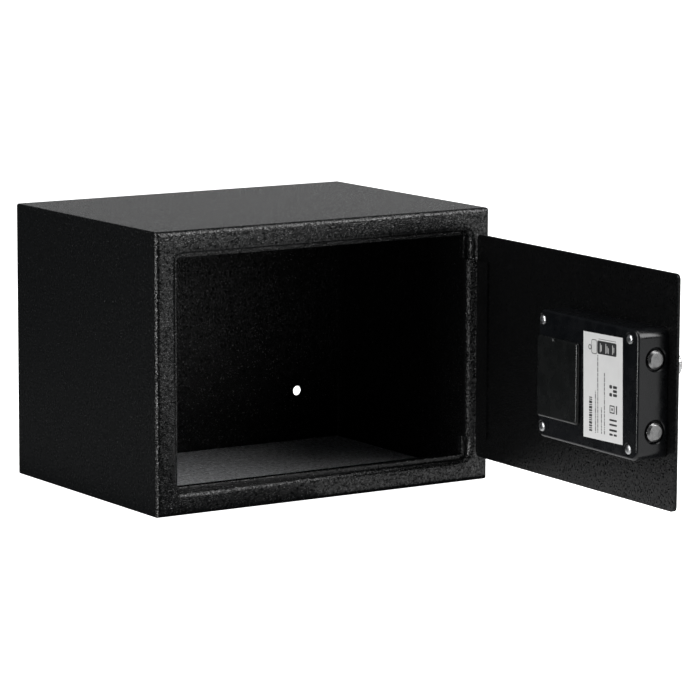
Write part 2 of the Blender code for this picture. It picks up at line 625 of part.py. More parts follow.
def make_crank_arm(door):
    """Crank with the drive pin that moves the carriage."""
    y0, y1 = DOOR_IN_Y + 0.4 * MM, DOOR_IN_Y + 2.0 * MM
    pin_x = KNOB_X + CRANK_R * math.sin(KNOB_TURN)
    pin_z = KNOB_Z - CRANK_R * math.cos(KNOB_TURN)
    crank = cylinder("crank_arm", "y", KNOB_X, KNOB_Z, 6 * MM, y0, y1)
    tip = cylinder("tip", "y", pin_x, pin_z, 3.6 * MM, y0, y1, 16)
    web = box("web", -3.4 * MM, 3.4 * MM, y0, y1, -CRANK_R, 0)
    web.data.transform(Matrix.Rotation(-KNOB_TURN, 4, "Y"))
    web.data.transform(Matrix.Translation((KNOB_X, 0, KNOB_Z)))
    pin = cylinder("pin", "y", pin_x, pin_z, DRIVE_R, y0 + 0.5 * MM, CARRIAGE_Y0 + CARRIAGE_T, 16)
    hang(unite(crank, tip, web, pin), door, "zinc", (KNOB_X, DOOR_Y, KNOB_Z))


def make_solenoid(door):
    """Open iron frame over the carriage, coil, plunger and its return spring."""
    leg_y = CHASSIS_Y0 + CHASSIS_T + GAP
    top = DOOR_IN_Y + 25 * MM
    half = 8.6 * MM
    bridge = box("solenoid_frame", SOL_X - 6 * MM, SOL_X + 6 * MM, top - 1.6 * MM, top, SOL_Z - half - 1.6 * MM,
                 SOL_Z + half + 1.6 * MM)
    legs = [box("leg", SOL_X - 6 * MM, SOL_X + 6 * MM, leg_y, top - 0.5 * MM, SOL_Z + side * half,
                SOL_Z + side * (half + 1.6 * MM)) for side in (-1, 1)]
    bore = cylinder("cut", "y", SOL_X, SOL_Z, 2.9 * MM, top - 8 * MM, top + 5 * MM, 16)
    hang(cut(unite(bridge, *legs), bore), door, "zinc")
    coil_low = DOOR_IN_Y + 12.5 * MM
    coil_high = top - 1.6 * MM - GAP
    coil = turned("solenoid_coil", [(coil_low, 8 * MM), (coil_low + 1 * MM, 8 * MM), (coil_low + 1 * MM, 7 * MM),
                                    (coil_high - 1 * MM, 7 * MM), (coil_high - 1 * MM, 8 * MM),
                                    (coil_high, 8 * MM)], "y", SOL_X, SOL_Z, 20)
    bore = cylinder("cut", "y", SOL_X, SOL_Z, 2.9 * MM, coil_low - 5 * MM, coil_high + 5 * MM, 16)
    hang(cut(coil, bore), door, "coil")
    tip = CARRIAGE_Y0 + CARRIAGE_T + GAP
    plunger = turned("solenoid_plunger", [(tip, 2.6 * MM), (tip + 0.4 * MM, 3 * MM), (tip + 1.6 * MM, 3 * MM),
                                          (tip + 1.6 * MM, 4.2 * MM), (tip + 2.6 * MM, 4.2 * MM),
                                          (tip + 2.6 * MM, 2.5 * MM), (top - 3 * MM, 2.5 * MM)],
                     "y", SOL_X, SOL_Z, 16)
    hang(plunger, door, "bright_steel", (SOL_X, tip, SOL_Z))
    hang(make_spring("plunger_spring", tip + 4.9 * MM, coil_low - 0.2 * MM), door, "zinc")


def make_spring(name, low, high):
    """Round wire wound around the plunger."""
    turns, wire, radius = 3, 0.25 * MM, 3.5 * MM
    steps, sides = 12, 5
    rings = []
    for i in range(turns * steps + 1):
        angle = 2 * math.pi * i / steps
        y = low + wire + (high - low - 2 * wire) * i / (turns * steps)
        out = Vector((math.cos(angle), 0, math.sin(angle)))
        centre = Vector((SOL_X, y, SOL_Z)) + out * radius
        ring = []
        for j in range(sides):
            turn = 2 * math.pi * j / sides
            ring.append(tuple(centre + out * wire * math.cos(turn) + Vector((0, wire * math.sin(turn), 0))))
        rings.append(ring)
    return loft(name, rings)


def make_circuit_board(door):
    """Board for the keypad and the lock, with a few tall components."""
    y0 = DOOR_IN_Y + 3 * MM
    y1 = y0 + 1.6 * MM
    board = prism("circuit_board", rounded(-70 * MM, -1 * MM, 98 * MM, 162 * MM, 2 * MM), "y", y0, y1)
    parts = [box("chip", -52 * MM, -40 * MM, y1 - 0.5 * MM, y1 + 2 * MM, 118 * MM, 130 * MM),
             box("plug", -66 * MM, -60 * MM, y1 - 0.5 * MM, y1 + 5 * MM, 104 * MM, 118 * MM),
             box("relay", -34 * MM, -22 * MM, y1 - 0.5 * MM, y1 + 6 * MM, 140 * MM, 150 * MM),
             cylinder("cap", "y", -14 * MM, 112 * MM, 3 * MM, y1 - 0.5 * MM, y1 + 6 * MM, 12)]
    hang(unite(board, *parts), door, "board")


# ---------------------------------------------------------------- outer face

def make_keypad_fascia(door):
    """Plastic panel on the outer face, with pockets for the keys, knob and key lock."""
    panel = soft_box("keypad_fascia", FASCIA_X0, FASCIA_X1, FASCIA_Z0, FASCIA_Z1, 7 * MM, "y", FASCIA_Y1,
                     FASCIA_Y0, 1.8 * MM, 4)
    margin = 0.5 * MM
    tools = [cylinder("cut", "y", KNOB_X, KNOB_Z, SPINDLE_R + 0.4 * MM, FASCIA_Y0 - 5 * MM, FASCIA_Y1 + 5 * MM),
             cylinder("cut", "y", LOCK_X, LOCK_Z, 8.5 * MM, FASCIA_Y0 - 5 * MM, FASCIA_Y1 + 5 * MM)]
    for x in KEY_XS:
        for z in KEY_ZS:
            outline = rounded(x - KEY_W / 2 - margin, x + KEY_W / 2 + margin, z - KEY_H / 2 - margin,
                              z + KEY_H / 2 + margin, 3 * MM, 2)
            tools.append(prism("cut", outline, "y", FASCIA_Y0 - 5 * MM, FASCIA_Y1 - 1.5 * MM))
        tools.append(cylinder("cut", "y", x, LENS_Z, LENS_R + GAP, FASCIA_Y0 - 5 * MM, FASCIA_Y1 - 2 * MM, 12))
    for x in SCREW_XS:
        for z in SCREW_ZS:
            tools.append(cylinder("cut", "y", x, z, SCREW_R + 0.1 * MM, FASCIA_Y1 - 4 * MM, FASCIA_Y1 + 5 * MM, 12))
    tools.append(cylinder("cut", "y", LOCK_X, COVER_PIVOT_Z, 1.5 * MM, FASCIA_Y0 - 5 * MM, FASCIA_Y0 + 3 * MM, 12))
    hang(cut(panel, *tools), door, "black_plastic")


def make_keys(door):
    """Twelve rubber keys with domed tops."""
    labels = ("1", "2", "3", "4", "5", "6", "7", "8", "9", "star", "0", "hash")
    count = 0
    for z in KEY_ZS:
        for x in KEY_XS:
            low, high = FASCIA_Y1 - 2.9 * MM, FASCIA_Y0 - 1.3 * MM
            key = soft_box("key_" + labels[count], x - KEY_W / 2, x + KEY_W / 2, z - KEY_H / 2, z + KEY_H / 2,
                           2.6 * MM, "y", low, high, 1.0 * MM, 2)
            hang(key, door, "key_rubber", (x, FASCIA_Y0, z))
            count += 1


def make_lenses(door):
    for name, x in zip(("lens_left", "lens_middle", "lens_right"), KEY_XS):
        y0, y1 = FASCIA_Y0 - 0.4 * MM, FASCIA_Y1 - 2.3 * MM
        profile = [(y1, LENS_R), (y0 + 0.6 * MM, LENS_R), (y0 + 0.2 * MM, LENS_R * 0.8), (y0, LENS_R * 0.4)]
        hang(turned(name, profile, "y", x, LENS_Z, 12), door, "lens")


def make_key_lock(door):
    """Cylinder through fascia and door, turning plug with a keyway, and the cam on its end."""
    front = FASCIA_Y0 + 0.8 * MM
    rear = DOOR_IN_Y + 11 * MM
    body = turned("key_cylinder", [(front, 8.1 * MM), (rear, 8.1 * MM)], "y", LOCK_X, LOCK_Z, 24)
    bore = cylinder("cut", "y", LOCK_X, LOCK_Z, 5.1 * MM, front - 5 * MM, rear + 5 * MM)
    hang(cut(body, bore), door, "zinc")
    plug = turned("key_plug", [(front + 0.2 * MM, 4.7 * MM), (front + 0.5 * MM, 5.0 * MM), (rear + 1 * MM, 5.0 * MM),
                               (rear + 1 * MM, 2.5 * MM), (rear + 4.4 * MM, 2.5 * MM)], "y", LOCK_X, LOCK_Z)
    keyway = box("cut", LOCK_X - 0.7 * MM, LOCK_X + 0.7 * MM, front - 5 * MM, front + 9 * MM, LOCK_Z - 3.4 * MM,
                 LOCK_Z + 3.4 * MM)
    hang(cut(plug, keyway), door, "brass", (LOCK_X, front, LOCK_Z))
    cam_y = rear + 1.4 * MM
    cam = prism("plug_cam", rounded(LOCK_X - 4 * MM, LOCK_X + 4 * MM, LOCK_Z - 4 * MM, LOCK_Z + 13 * MM, 3.9 * MM),
                "y", cam_y, cam_y + 1.6 * MM)
    hole = cylinder("cut", "y", LOCK_X, LOCK_Z, 2.8 * MM, cam_y - 5 * MM, cam_y + 5 * MM, 16)
    hang(cut(cam, hole), door, "zinc", (LOCK_X, cam_y, LOCK_Z))


def make_key_cover(door):
    """Swinging plate over the keyway and the rivet it hangs on."""
    y1 = FASCIA_Y0 - GAP
    y0 = y1 - 2 * MM
    low = LOCK_Z - 10.5 * MM
    high = COVER_PIVOT_Z + 5 * MM
    cover = soft_box("key_cover", LOCK_X - 10 * MM, LOCK_X + 10 * MM, low, high, 8 * MM, "y", y1, y0, 0.7 * MM, 4)
    hole = cylinder("cut", "y", LOCK_X, COVER_PIVOT_Z, 1.5 * MM, y0 - 5 * MM, y1 + 5 * MM, 16)
    hang(cut(cover, hole), door, "satin_chrome", (LOCK_X, FASCIA_Y0, COVER_PIVOT_Z))
    rivet = turned("cover_rivet", [(FASCIA_Y0 + 2.5 * MM, 1.4 * MM), (y0 - GAP, 1.4 * MM), (y0 - GAP, 2.8 * MM),
                                   (y0 - 0.9 * MM, 2.4 * MM), (y0 - 1.3 * MM, 1.2 * MM)], "y", LOCK_X,
                   COVER_PIVOT_Z, 16)
    hang(rivet, door, "zinc")


def make_reset_button(door):
    """Small push button that stands just proud of the housing's hinge side."""
    out = BOX_X1 + 1.8 * MM
    profile = [(BOX_X1 - 6 * MM, 4.2 * MM), (BOX_X1 - BOX_WALL - 2.2 * MM, 4.2 * MM),
               (BOX_X1 - BOX_WALL - 2.2 * MM, RESET_R), (out - 0.4 * MM, RESET_R), (out, RESET_R - 0.4 * MM)]
    button = turned("reset_button", profile, "x", RESET_Y, RESET_Z, 16)
    hang(button, door, "red_plastic", (BOX_X1, RESET_Y, RESET_Z))


# ---------------------------------------------------------------- assembly

def clear_scene():
    for obj in list(bpy.data.objects):
        bpy.data.objects.remove(obj)


def main():
    clear_scene()
    make_body_wrap()
    make_rear_panel()
    make_front_frame()
    make_floor_mat()
    make_hinge_bracket("hinge_bracket_lower", 35 * MM, 38 * MM, 24 * MM, 38 * MM)
    make_hinge_bracket("hinge_bracket_upper", 208 * MM, 211 * MM, 208 * MM, 222 * MM)

    door = bpy.data.objects.new("door_axis", None)
    bpy.context.scene.collection.objects.link(door)
    door.location = (PIN_X, PIN_Y, 0.0)
    door.rotation_euler = (0.0, 0.0, DOOR_OPEN)

    make_door_panel(door)
    make_hinge_leaf(door)
    make_hinge_pins(door)
    make_lock_housing(door)
    make_housing_screws(door)
    make_rating_label(door)
    make_battery_cover(door)
    make_batteries(door)
    make_lock_chassis(door)
    make_bolts(door)
    make_bolt_carriage(door)
    make_knob(door)
    make_knob_spindle(door)
    make_crank_arm(door)
    make_solenoid(door)
    make_circuit_board(door)
    make_keypad_fascia(door)
    make_keys(door)
    make_lenses(door)
    make_key_lock(door)
    make_key_cover(door)
    make_reset_button(door)
    bpy.context.view_layer.update()


main()
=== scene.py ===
"""Looks of the in room safe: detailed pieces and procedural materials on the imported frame."""
import json
import math
import random

import bmesh
import bpy
from mathutils import Matrix, Vector


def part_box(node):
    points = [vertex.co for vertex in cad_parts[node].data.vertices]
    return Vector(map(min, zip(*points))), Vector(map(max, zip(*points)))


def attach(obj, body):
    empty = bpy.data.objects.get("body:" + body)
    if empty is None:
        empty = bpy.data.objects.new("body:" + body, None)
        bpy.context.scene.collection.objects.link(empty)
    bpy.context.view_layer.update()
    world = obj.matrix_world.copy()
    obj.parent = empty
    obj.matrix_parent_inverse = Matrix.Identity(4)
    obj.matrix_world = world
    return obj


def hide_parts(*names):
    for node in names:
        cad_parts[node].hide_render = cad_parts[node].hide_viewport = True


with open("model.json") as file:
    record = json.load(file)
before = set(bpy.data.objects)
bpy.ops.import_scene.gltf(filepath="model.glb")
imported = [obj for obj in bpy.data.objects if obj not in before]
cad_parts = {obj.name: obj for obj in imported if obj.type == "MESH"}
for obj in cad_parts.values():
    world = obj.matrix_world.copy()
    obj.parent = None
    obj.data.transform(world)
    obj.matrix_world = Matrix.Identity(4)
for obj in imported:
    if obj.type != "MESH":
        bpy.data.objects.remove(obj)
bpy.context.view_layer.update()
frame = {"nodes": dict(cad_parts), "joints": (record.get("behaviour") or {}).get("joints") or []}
NODES = frame["nodes"]
MM = 0.001

# The door's pieces are modelled on the shut door, then swung to where it stands at rest.
HINGE = next(j for j in frame["joints"] if j["name"] == "door_hinge")
PIN = Vector((HINGE["pos_m"][0], HINGE["pos_m"][1], 0.0))
OPEN = math.radians(-HINGE["range_deg"][0])
SWING = Matrix.Translation(PIN) @ Matrix.Rotation(OPEN, 4, "Z") @ Matrix.Translation(-PIN)
UNSWING = SWING.inverted()

# How far a cutting tool reaches past the surface that it cuts.
PAST = 5 * MM


def shut_box(node):
    """Lowest and highest corners of one of the door's CAD nodes, on the shut door."""
    points = [UNSWING @ v.co for v in NODES[node].data.vertices]
    low = Vector(min(p[i] for p in points) for i in range(3))
    high = Vector(max(p[i] for p in points) for i in range(3))
    return low, high


def middle(node):
    """Middle of one of the door's CAD nodes, on the shut door."""
    low, high = shut_box(node)
    return tuple((a + b) / 2 for a, b in zip(low, high))


def new_object(name, data):
    """A new object in the scene."""
    obj = bpy.data.objects.new(name, data)
    bpy.context.scene.collection.objects.link(obj)
    return obj


def from_bmesh(name, bm):
    """A new object in the scene from a bmesh, which is used up."""
    mesh = bpy.data.meshes.new(name)
    bm.to_mesh(mesh)
    bm.free()
    return new_object(name, mesh)


# ---------------------------------------------------------------- node materials

# The part of 0 to 1 in which most noise values lie.
NOISE_LOW, NOISE_HIGH = 0.3, 0.7


class Look:
    """A Principled material under construction, with helpers for procedural detail."""

    def __init__(self, name, colour, rough, metallic=0.0, **sockets):
        self.mat = bpy.data.materials.new(name)
        self.mat.use_nodes = True
        self.tree = self.mat.node_tree
        self.shader = self.tree.nodes["Principled BSDF"]
        self.colour = colour
        self.shader.inputs["Base Color"].default_value = (*colour, 1)
        self.shader.inputs["Roughness"].default_value = rough
        self.shader.inputs["Metallic"].default_value = metallic
        for socket, value in sockets.items():
            self.shader.inputs[socket.replace("_", " ")].default_value = value
        self.coords = self.tree.nodes.new("ShaderNodeTexCoord").outputs["Object"]
        self.normal = None

    def link(self, a, b):
        self.tree.links.new(a, b)

    def mapped(self, stretch):
        """Object coordinates scaled axis by axis."""
        node = self.tree.nodes.new("ShaderNodeMapping")
        node.inputs["Scale"].default_value = stretch
        self.link(self.coords, node.inputs["Vector"])
        return node.outputs["Vector"]

    def noise(self, scale, detail=2.0, rough=0.5, stretch=None, distortion=0.0):
        """Fractal noise from 0 to 1, with scale in features per metre."""
        node = self.tree.nodes.new("ShaderNodeTexNoise")
        node.inputs["Scale"].default_value = scale
        node.inputs["Detail"].default_value = detail
        node.inputs["Roughness"].default_value = rough
        node.inputs["Distortion"].default_value = distortion
        self.link(self.mapped(stretch) if stretch else self.coords, node.inputs["Vector"])
        return node.outputs["Fac"]

    def cells(self, scale):
        """Distance to the middle of the nearest cell of a Voronoi pattern."""
        node = self.tree.nodes.new("ShaderNodeTexVoronoi")
        node.feature = "F1"
        node.inputs["Scale"].default_value = scale
        self.link(self.coords, node.inputs["Vector"])
        return node.outputs["Distance"]

    def spread(self, value, low, high, to_low=0.0, to_high=1.0):
        """Carry low..high of a value over to to_low..to_high, and hold it there beyond."""
        node = self.tree.nodes.new("ShaderNodeMapRange")
        node.inputs["From Min"].default_value = low
        node.inputs["From Max"].default_value = high
        node.inputs["To Min"].default_value = to_low
        node.inputs["To Max"].default_value = to_high
        self.link(value, node.inputs["Value"])
        return node.outputs["Result"]

    def maths(self, operation, a, b):
        """One operation on two sockets or plain numbers."""
        node = self.tree.nodes.new("ShaderNodeMath")
        node.operation = operation
        for socket, value in zip(node.inputs, (a, b)):
            if isinstance(value, (int, float)):
                socket.default_value = value
            else:
                self.link(value, socket)
        return node.outputs[0]

    def tint(self, factor, colour):
        """Mix the base colour towards another where factor is 1."""
        node = self.tree.nodes.new("ShaderNodeMix")
        node.data_type = "RGBA"
        before = self.shader.inputs["Base Color"]
        if before.is_linked:
            self.link(before.links[0].from_socket, node.inputs["A"])
        else:
            node.inputs["A"].default_value = (*self.colour, 1)
        node.inputs["B"].default_value = (*colour, 1)
        self.link(factor, node.inputs["Factor"])
        self.link(node.outputs["Result"], before)

    def rough(self, noise, to_low, to_high):
        """Let the roughness follow a noise."""
        result = self.spread(noise, NOISE_LOW, NOISE_HIGH, to_low, to_high)
        self.link(result, self.shader.inputs["Roughness"])

    def bump(self, height, distance, strength):
        """Add relief on top of what is there: height from 0 to 1, distance in metres."""
        node = self.tree.nodes.new("ShaderNodeBump")
        node.inputs["Strength"].default_value = strength
        node.inputs["Distance"].default_value = distance
        self.link(height, node.inputs["Height"])
        if self.normal:
            self.link(self.normal, node.inputs["Normal"])
        self.normal = node.outputs["Normal"]
        self.link(self.normal, self.shader.inputs["Normal"])


def powder_coat(name, colour, pebble, depth, rough, gleam):
    """Glossy black powder coat: pebbles about a millimetre across, some of which catch the light more.

    pebble is in pebbles per metre, and gleam is the specular level from the dullest to the brightest.
    """
    look = Look(name, colour, rough, IOR=1.5)
    look.bump(look.noise(24, 2), 0.3 * MM, 0.6)
    look.bump(look.noise(pebble, 1), depth, 1.0)
    sparkle = look.noise(pebble * 0.7, 4, 0.7)
    look.link(look.spread(sparkle, 0.38, 0.64, *gleam), look.shader.inputs["Specular IOR Level"])
    # Painted glints: some pebbles get a lighter base colour so they read as sparkle under the lamps; they
    # also vary the tone at random.
    look.tint(look.spread(look.noise(pebble * 1.4, 2), 0.55, 0.75), [c * 2.5 for c in colour])
    look.rough(look.noise(pebble * 0.7, 2), rough - 0.05, rough + 0.06)
    return look.mat


def plastic(name, colour, rough, grain=2600, depth=0.012 * MM):
    """Moulded plastic with a faint spark texture and slight unevenness of gloss."""
    look = Look(name, colour, rough, IOR=1.49)
    look.bump(look.noise(18, 1), 0.12 * MM, 0.5)
    look.bump(look.noise(grain, 2), depth, 0.8)
    look.tint(look.spread(look.noise(60, 3), 0.45, 0.8), [c * 1.3 + 0.001 for c in colour])
    look.rough(look.noise(90, 4), rough - 0.05, rough + 0.07)
    return look.mat


def plated(name, colour, rough, scratch=0.02 * MM, stretch=(1, 1, 1)):
    """Plated steel: soft blotches and fine scratches."""
    look = Look(name, colour, rough, metallic=1.0)
    look.bump(look.noise(900, 4, stretch=stretch), scratch, 0.6)
    look.tint(look.spread(look.noise(240, 4, 0.6), 0.5, 0.72), [c * 0.62 for c in colour])
    look.rough(look.noise(420, 4), max(rough - 0.1, 0.05), rough + 0.14)
    return look.mat


def felt(name):
    """Grey needle felt with lighter and darker fibres mixed in."""
    look = Look(name, (0.38, 0.385, 0.40), 0.95, Sheen_Weight=0.35, Sheen_Roughness=0.6)
    fibre = look.maths("ADD", look.noise(1500, 5, 0.75, distortion=1.2),
                       look.maths("MULTIPLY", look.noise(420, 4, 0.7, distortion=2.0), 0.8))
    look.bump(fibre, 0.5 * MM, 1.0)
    look.tint(look.spread(look.noise(360, 5, 0.8, distortion=1.0), 0.50, 0.60), (0.85, 0.855, 0.88))
    look.tint(look.spread(look.noise(300, 5, 0.75), 0.50, 0.60), (0.10, 0.10, 0.11))
    return look.mat


def film(name):
    """Pale satin film of the label."""
    look = Look(name, (0.72, 0.72, 0.715), 0.42, IOR=1.45)
    look.bump(look.noise(35, 2), 0.2 * MM, 0.35)
    look.bump(look.noise(3000, 2), 0.006 * MM, 0.6)
    look.tint(look.spread(look.noise(80, 3), 0.4, 0.75), (0.68, 0.68, 0.675))
    look.rough(look.noise(200, 3), 0.38, 0.5)
    return look.mat


def ink(name, colour):
    """Printing ink, slightly uneven in tone and gloss."""
    rough = 0.5
    look = Look(name, colour, rough)
    look.tint(look.spread(look.noise(1800, 3), 0.5, 0.8), [c * 1.35 + 0.01 for c in colour])
    look.bump(look.noise(3000, 2), 0.004 * MM, 0.5)
    look.rough(look.noise(900, 2), rough - 0.06, rough + 0.08)
    return look.mat


COAT = powder_coat("coat", (0.0024, 0.0026, 0.0027), 760, 0.55 * MM, 0.22, (0.05, 1.0))
DOOR_COAT = powder_coat("door_coat", (0.0030, 0.0031, 0.0032), 820, 0.45 * MM, 0.21, (0.0, 0.42))
HOUSING = plastic("housing_plastic", (0.0030, 0.0035, 0.0044), 0.25)
LID = plastic("lid_plastic", (0.0058, 0.0064, 0.0064), 0.26)
FASCIA = plastic("fascia_plastic", (0.012, 0.0123, 0.013), 0.33, 2000, 0.02 * MM)
KEY_RUBBER = plastic("key_rubber", (0.085, 0.087, 0.09), 0.62, 3200, 0.02 * MM)
RED = plastic("red_plastic", (0.42, 0.02, 0.018), 0.38)
MASK = plastic("solder_mask", (0.012, 0.075, 0.03), 0.4)
STEEL = plated("bolt_steel", (0.30, 0.30, 0.30), 0.30)
ZINC = plated("zinc", (0.58, 0.59, 0.60), 0.30)
# Near black steel for the lock chassis: painted shade, so the chassis seen through the gaps round the bolts
# stays as dark as the shade there.
PAINTED_SHADE_STEEL = plated("painted_shade_steel", (0.06, 0.06, 0.062), 0.42)
CHROME = plated("satin_chrome", (0.66, 0.66, 0.665), 0.24, 0.008 * MM)
BRASS = plated("brass", (0.62, 0.45, 0.19), 0.28)
WINDING = plated("winding", (0.52, 0.20, 0.07), 0.35, 0.04 * MM, (1, 1, 6))
FELT = felt("felt")
FILM = film("film")
INK = ink("ink", (0.02, 0.02, 0.021))
GREY_INK = ink("grey_ink", (0.17, 0.17, 0.172))
PALE_INK = ink("pale_ink", (0.62, 0.62, 0.61))


def cell_wrap():
    """Wrap of a dry cell: a dark body, and copper above a line 34 mm from its lower end."""
    look = Look("cell_wrap", (0.025, 0.026, 0.03), 0.3, metallic=0.4)
    split = look.tree.nodes.new("ShaderNodeSeparateXYZ")
    look.link(look.coords, split.inputs[0])
    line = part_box("battery_cell_1")[0].z + 34 * MM
    look.tint(look.spread(split.outputs["Z"], line, line + 0.3 * MM), (0.50, 0.21, 0.07))
    look.bump(look.noise(1200, 2), 0.008 * MM, 0.6)
    look.rough(look.noise(300, 3), 0.24, 0.38)
    return look.mat


def lens_look(name, colour):
    """Glossy coloured lens with a fine cellular pattern."""
    look = Look(name, colour, 0.12, IOR=1.5, Coat_Weight=0.5)
    look.tint(look.spread(look.cells(2500), 0.2, 0.6), [c * 0.4 for c in colour])
    look.bump(look.noise(900, 2), 0.01 * MM, 0.5)
    look.rough(look.noise(700, 2), 0.08, 0.2)
    return look.mat


# ---------------------------------------------------------------- carried-over nodes

def smooth_by_angle(degrees):
    """Modifier nodes that weld a mesh and shade it smooth across its gentle edges only."""
    group = bpy.data.node_groups.new("smooth_by_angle", "GeometryNodeTree")
    group.interface.new_socket("Geometry", in_out="INPUT", socket_type="NodeSocketGeometry")
    group.interface.new_socket("Geometry", in_out="OUTPUT", socket_type="NodeSocketGeometry")
    new, link = group.nodes.new, group.links.new
    start, end = new("NodeGroupInput"), new("NodeGroupOutput")
    weld = new("GeometryNodeMergeByDistance")
    weld.inputs["Distance"].default_value = 0.002 * MM
    forget = new("GeometryNodeRemoveAttribute")
    forget.inputs["Name"].default_value = "custom_normal"
    smooth = new("GeometryNodeSetShadeSmooth")
    angle = new("GeometryNodeInputMeshEdgeAngle")
    steep = new("FunctionNodeCompare")
    steep.inputs["B"].default_value = math.radians(degrees)
    store = new("GeometryNodeStoreNamedAttribute")
    store.data_type = "BOOLEAN"
    store.domain = "EDGE"
    store.inputs["Name"].default_value = "sharp_edge"
    link(angle.outputs["Unsigned Angle"], steep.inputs["A"])
    link(start.outputs[0], weld.inputs["Geometry"])
    link(weld.outputs["Geometry"], forget.inputs["Geometry"])
    link(forget.outputs["Geometry"], smooth.inputs["Geometry"])
    link(smooth.outputs["Geometry"], store.inputs["Geometry"])
    link(steep.outputs["Result"], store.inputs["Value"])
    link(store.outputs["Geometry"], end.inputs[0])
    return group


SMOOTH = smooth_by_angle(32)


def wear(mat, *nodes):
    """Give carried-over CAD nodes their material and clean shading."""
    for node in nodes:
        obj = NODES[node]
        obj.data.materials.clear()
        obj.data.materials.append(mat)
        obj.modifiers.new("smooth", "NODES").node_group = SMOOTH
        obj.modifiers.new("even", "WEIGHTED_NORMAL").keep_sharp = True


wear(COAT, "body_wrap", "rear_panel", "front_frame", "hinge_bracket_lower", "hinge_bracket_upper")
wear(DOOR_COAT, "door_panel", "hinge_leaf")
wear(ZINC, "hinge_pin_lower", "hinge_pin_upper", "solenoid_frame", "plunger_spring", "battery_contacts_lower",
     "battery_contacts_upper", "bolt_carriage", "crank_arm", "knob_spindle", "plug_cam", "key_cylinder")
# The lock chassis is painted near black as shade, not given its plated colour.
wear(PAINTED_SHADE_STEEL, "lock_chassis")
wear(STEEL, "solenoid_plunger")
wear(cell_wrap(), "battery_cell_1", "battery_cell_2", "battery_cell_3", "battery_cell_4")
wear(FILM, "rating_label")
wear(MASK, "circuit_board")
wear(WINDING, "solenoid_coil")
wear(BRASS, "key_plug")
wear(RED, "reset_button")


# ---------------------------------------------------------------- shapes

def rounded(a0, a1, b0, b1, r, steps=8):
    """Points of a rectangle with round corners, anticlockwise from its lower right corner."""
    points = []
    corners = ((a1 - r, b0 + r, -90), (a1 - r, b1 - r, 0), (a0 + r, b1 - r, 90), (a0 + r, b0 + r, 180))
    for a, b, first in corners:
        for i in range(steps + 1):
            angle = math.radians(first + 90 * i / steps)
            points.append((a + r * math.cos(angle), b + r * math.sin(angle)))
    return points


def circle(a, b, r, count=64):
    """Points of a circle in a plane."""
    angles = [2 * math.pi * i / count for i in range(count)]
    return [(a + r * math.cos(angle), b + r * math.sin(angle)) for angle in angles]


def place3(axis, a, b, c):
    """A point from two in-plane values and one along the axis, in X, Y, Z order."""
    if axis == "x":
        return (c, a, b)
    if axis == "y":
        return (a, c, b)
    return (a, b, c)


def solid(name, layers, axis):
    """A closed solid through (outline, position along the axis) layers."""
    bm = bmesh.new()
    rows = [[bm.verts.new(place3(axis, a, b, c)) for a, b in outline] for outline, c in layers]
    count = len(rows[0])
    bm.faces.new(rows[0][::-1])
    bm.faces.new(rows[-1])
    for low, high in zip(rows, rows[1:]):
        for i in range(count):
            j = (i + 1) % count
            bm.faces.new((low[i], low[j], high[j], high[i]))
    bmesh.ops.recalc_face_normals(bm, faces=bm.faces)
    return from_bmesh(name, bm)


def prism(name, outline, axis, low, high):
    """An outline pushed along an axis."""
    return solid(name, [(outline, low), (outline, high)], axis)


def block(name, x0, x1, y0, y1, z0, z1):
    """A plain box."""
    return prism(name, [(x0, z0), (x1, z0), (x1, z1), (x0, z1)], "y", y0, y1)


def lathe(name, profile, axis, a, b, count=64):
    """A turned solid from (position along the axis, radius) pairs."""
    return solid(name, [(circle(a, b, r, count), c) for c, r in profile], axis)


def soft_block(name, a0, a1, b0, b1, r, axis, low, high, edge, steps=8, curve=6):
    """A rounded rectangle pushed along an axis, with its edge at high rounded."""
    turn = 1 if high > low else -1
    layers = [(rounded(a0, a1, b0, b1, r, steps), low)]
    for i in range(curve + 1):
        angle = math.pi / 2 * i / curve
        inset = edge * (1 - math.cos(angle))
        outline = rounded(a0 + inset, a1 - inset, b0 + inset, b1 - inset, r - inset, steps)
        layers.append((outline, high - turn * edge * (1 - math.sin(angle))))
    return solid(name, layers, axis)


def carve(obj, operation, *others):
    """Apply a Boolean of obj with the others, which are used up."""
    for other in others:
        modifier = obj.modifiers.new("shape", "BOOLEAN")
        modifier.operation = operation
        modifier.solver = "EXACT"
        modifier.object = other
        graph = bpy.context.evaluated_depsgraph_get()
        result = bpy.data.meshes.new_from_object(obj.evaluated_get(graph))
        obj.modifiers.clear()
        obj.data = result
        bpy.data.objects.remove(other)


def join(name, parts):
    """One object from several that lie beside each other."""
    bm = bmesh.new()
    for part in parts:
        bm.from_mesh(part.data)
        bpy.data.objects.remove(part)
    return from_bmesh(name, bm)


def fit(obj, mat, slot, body, *nodes, rim=0.0, smooth=32, on_door=True):
    """Swing a piece out with the door, finish its surface and say what it rides on and replaces."""
    if on_door:
        obj.data.transform(SWING)
    obj.data.materials.clear()
    obj.data.materials.append(mat)
    obj.data.shade_smooth()
    obj.data.set_sharp_from_angle(angle=math.radians(smooth))
    if rim:
        bevel = obj.modifiers.new("rim", "BEVEL")
        bevel.width = rim
        bevel.segments = 2
        bevel.limit_method = "ANGLE"
        bevel.angle_limit = math.radians(50)
    obj.modifiers.new("even", "WEIGHTED_NORMAL").keep_sharp = True
    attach(obj, body)
    if nodes:
        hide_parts(*nodes)


# ---------------------------------------------------------------- lock housing

SCREW_NODES = ["housing_screw_%d" % number for number in range(1, 5)]
SCREW_MIDDLES = [(middle(node)[0], middle(node)[2]) for node in SCREW_NODES]
BOLT_NODES = ("bolt_lower", "bolt_upper")
HOUSE_LOW, HOUSE_HIGH = shut_box("lock_housing")
FACE_Y = HOUSE_HIGH.y
LID_LOW, LID_HIGH = shut_box("battery_cover")

# Battery bay: its inside from bottom to top, its depth and the thickness of its walls.
BAY_Z = (92.5 * MM, 152.5 * MM)
BAY_DEPTH = 16.5 * MM
BAY_WALL = 1.4 * MM

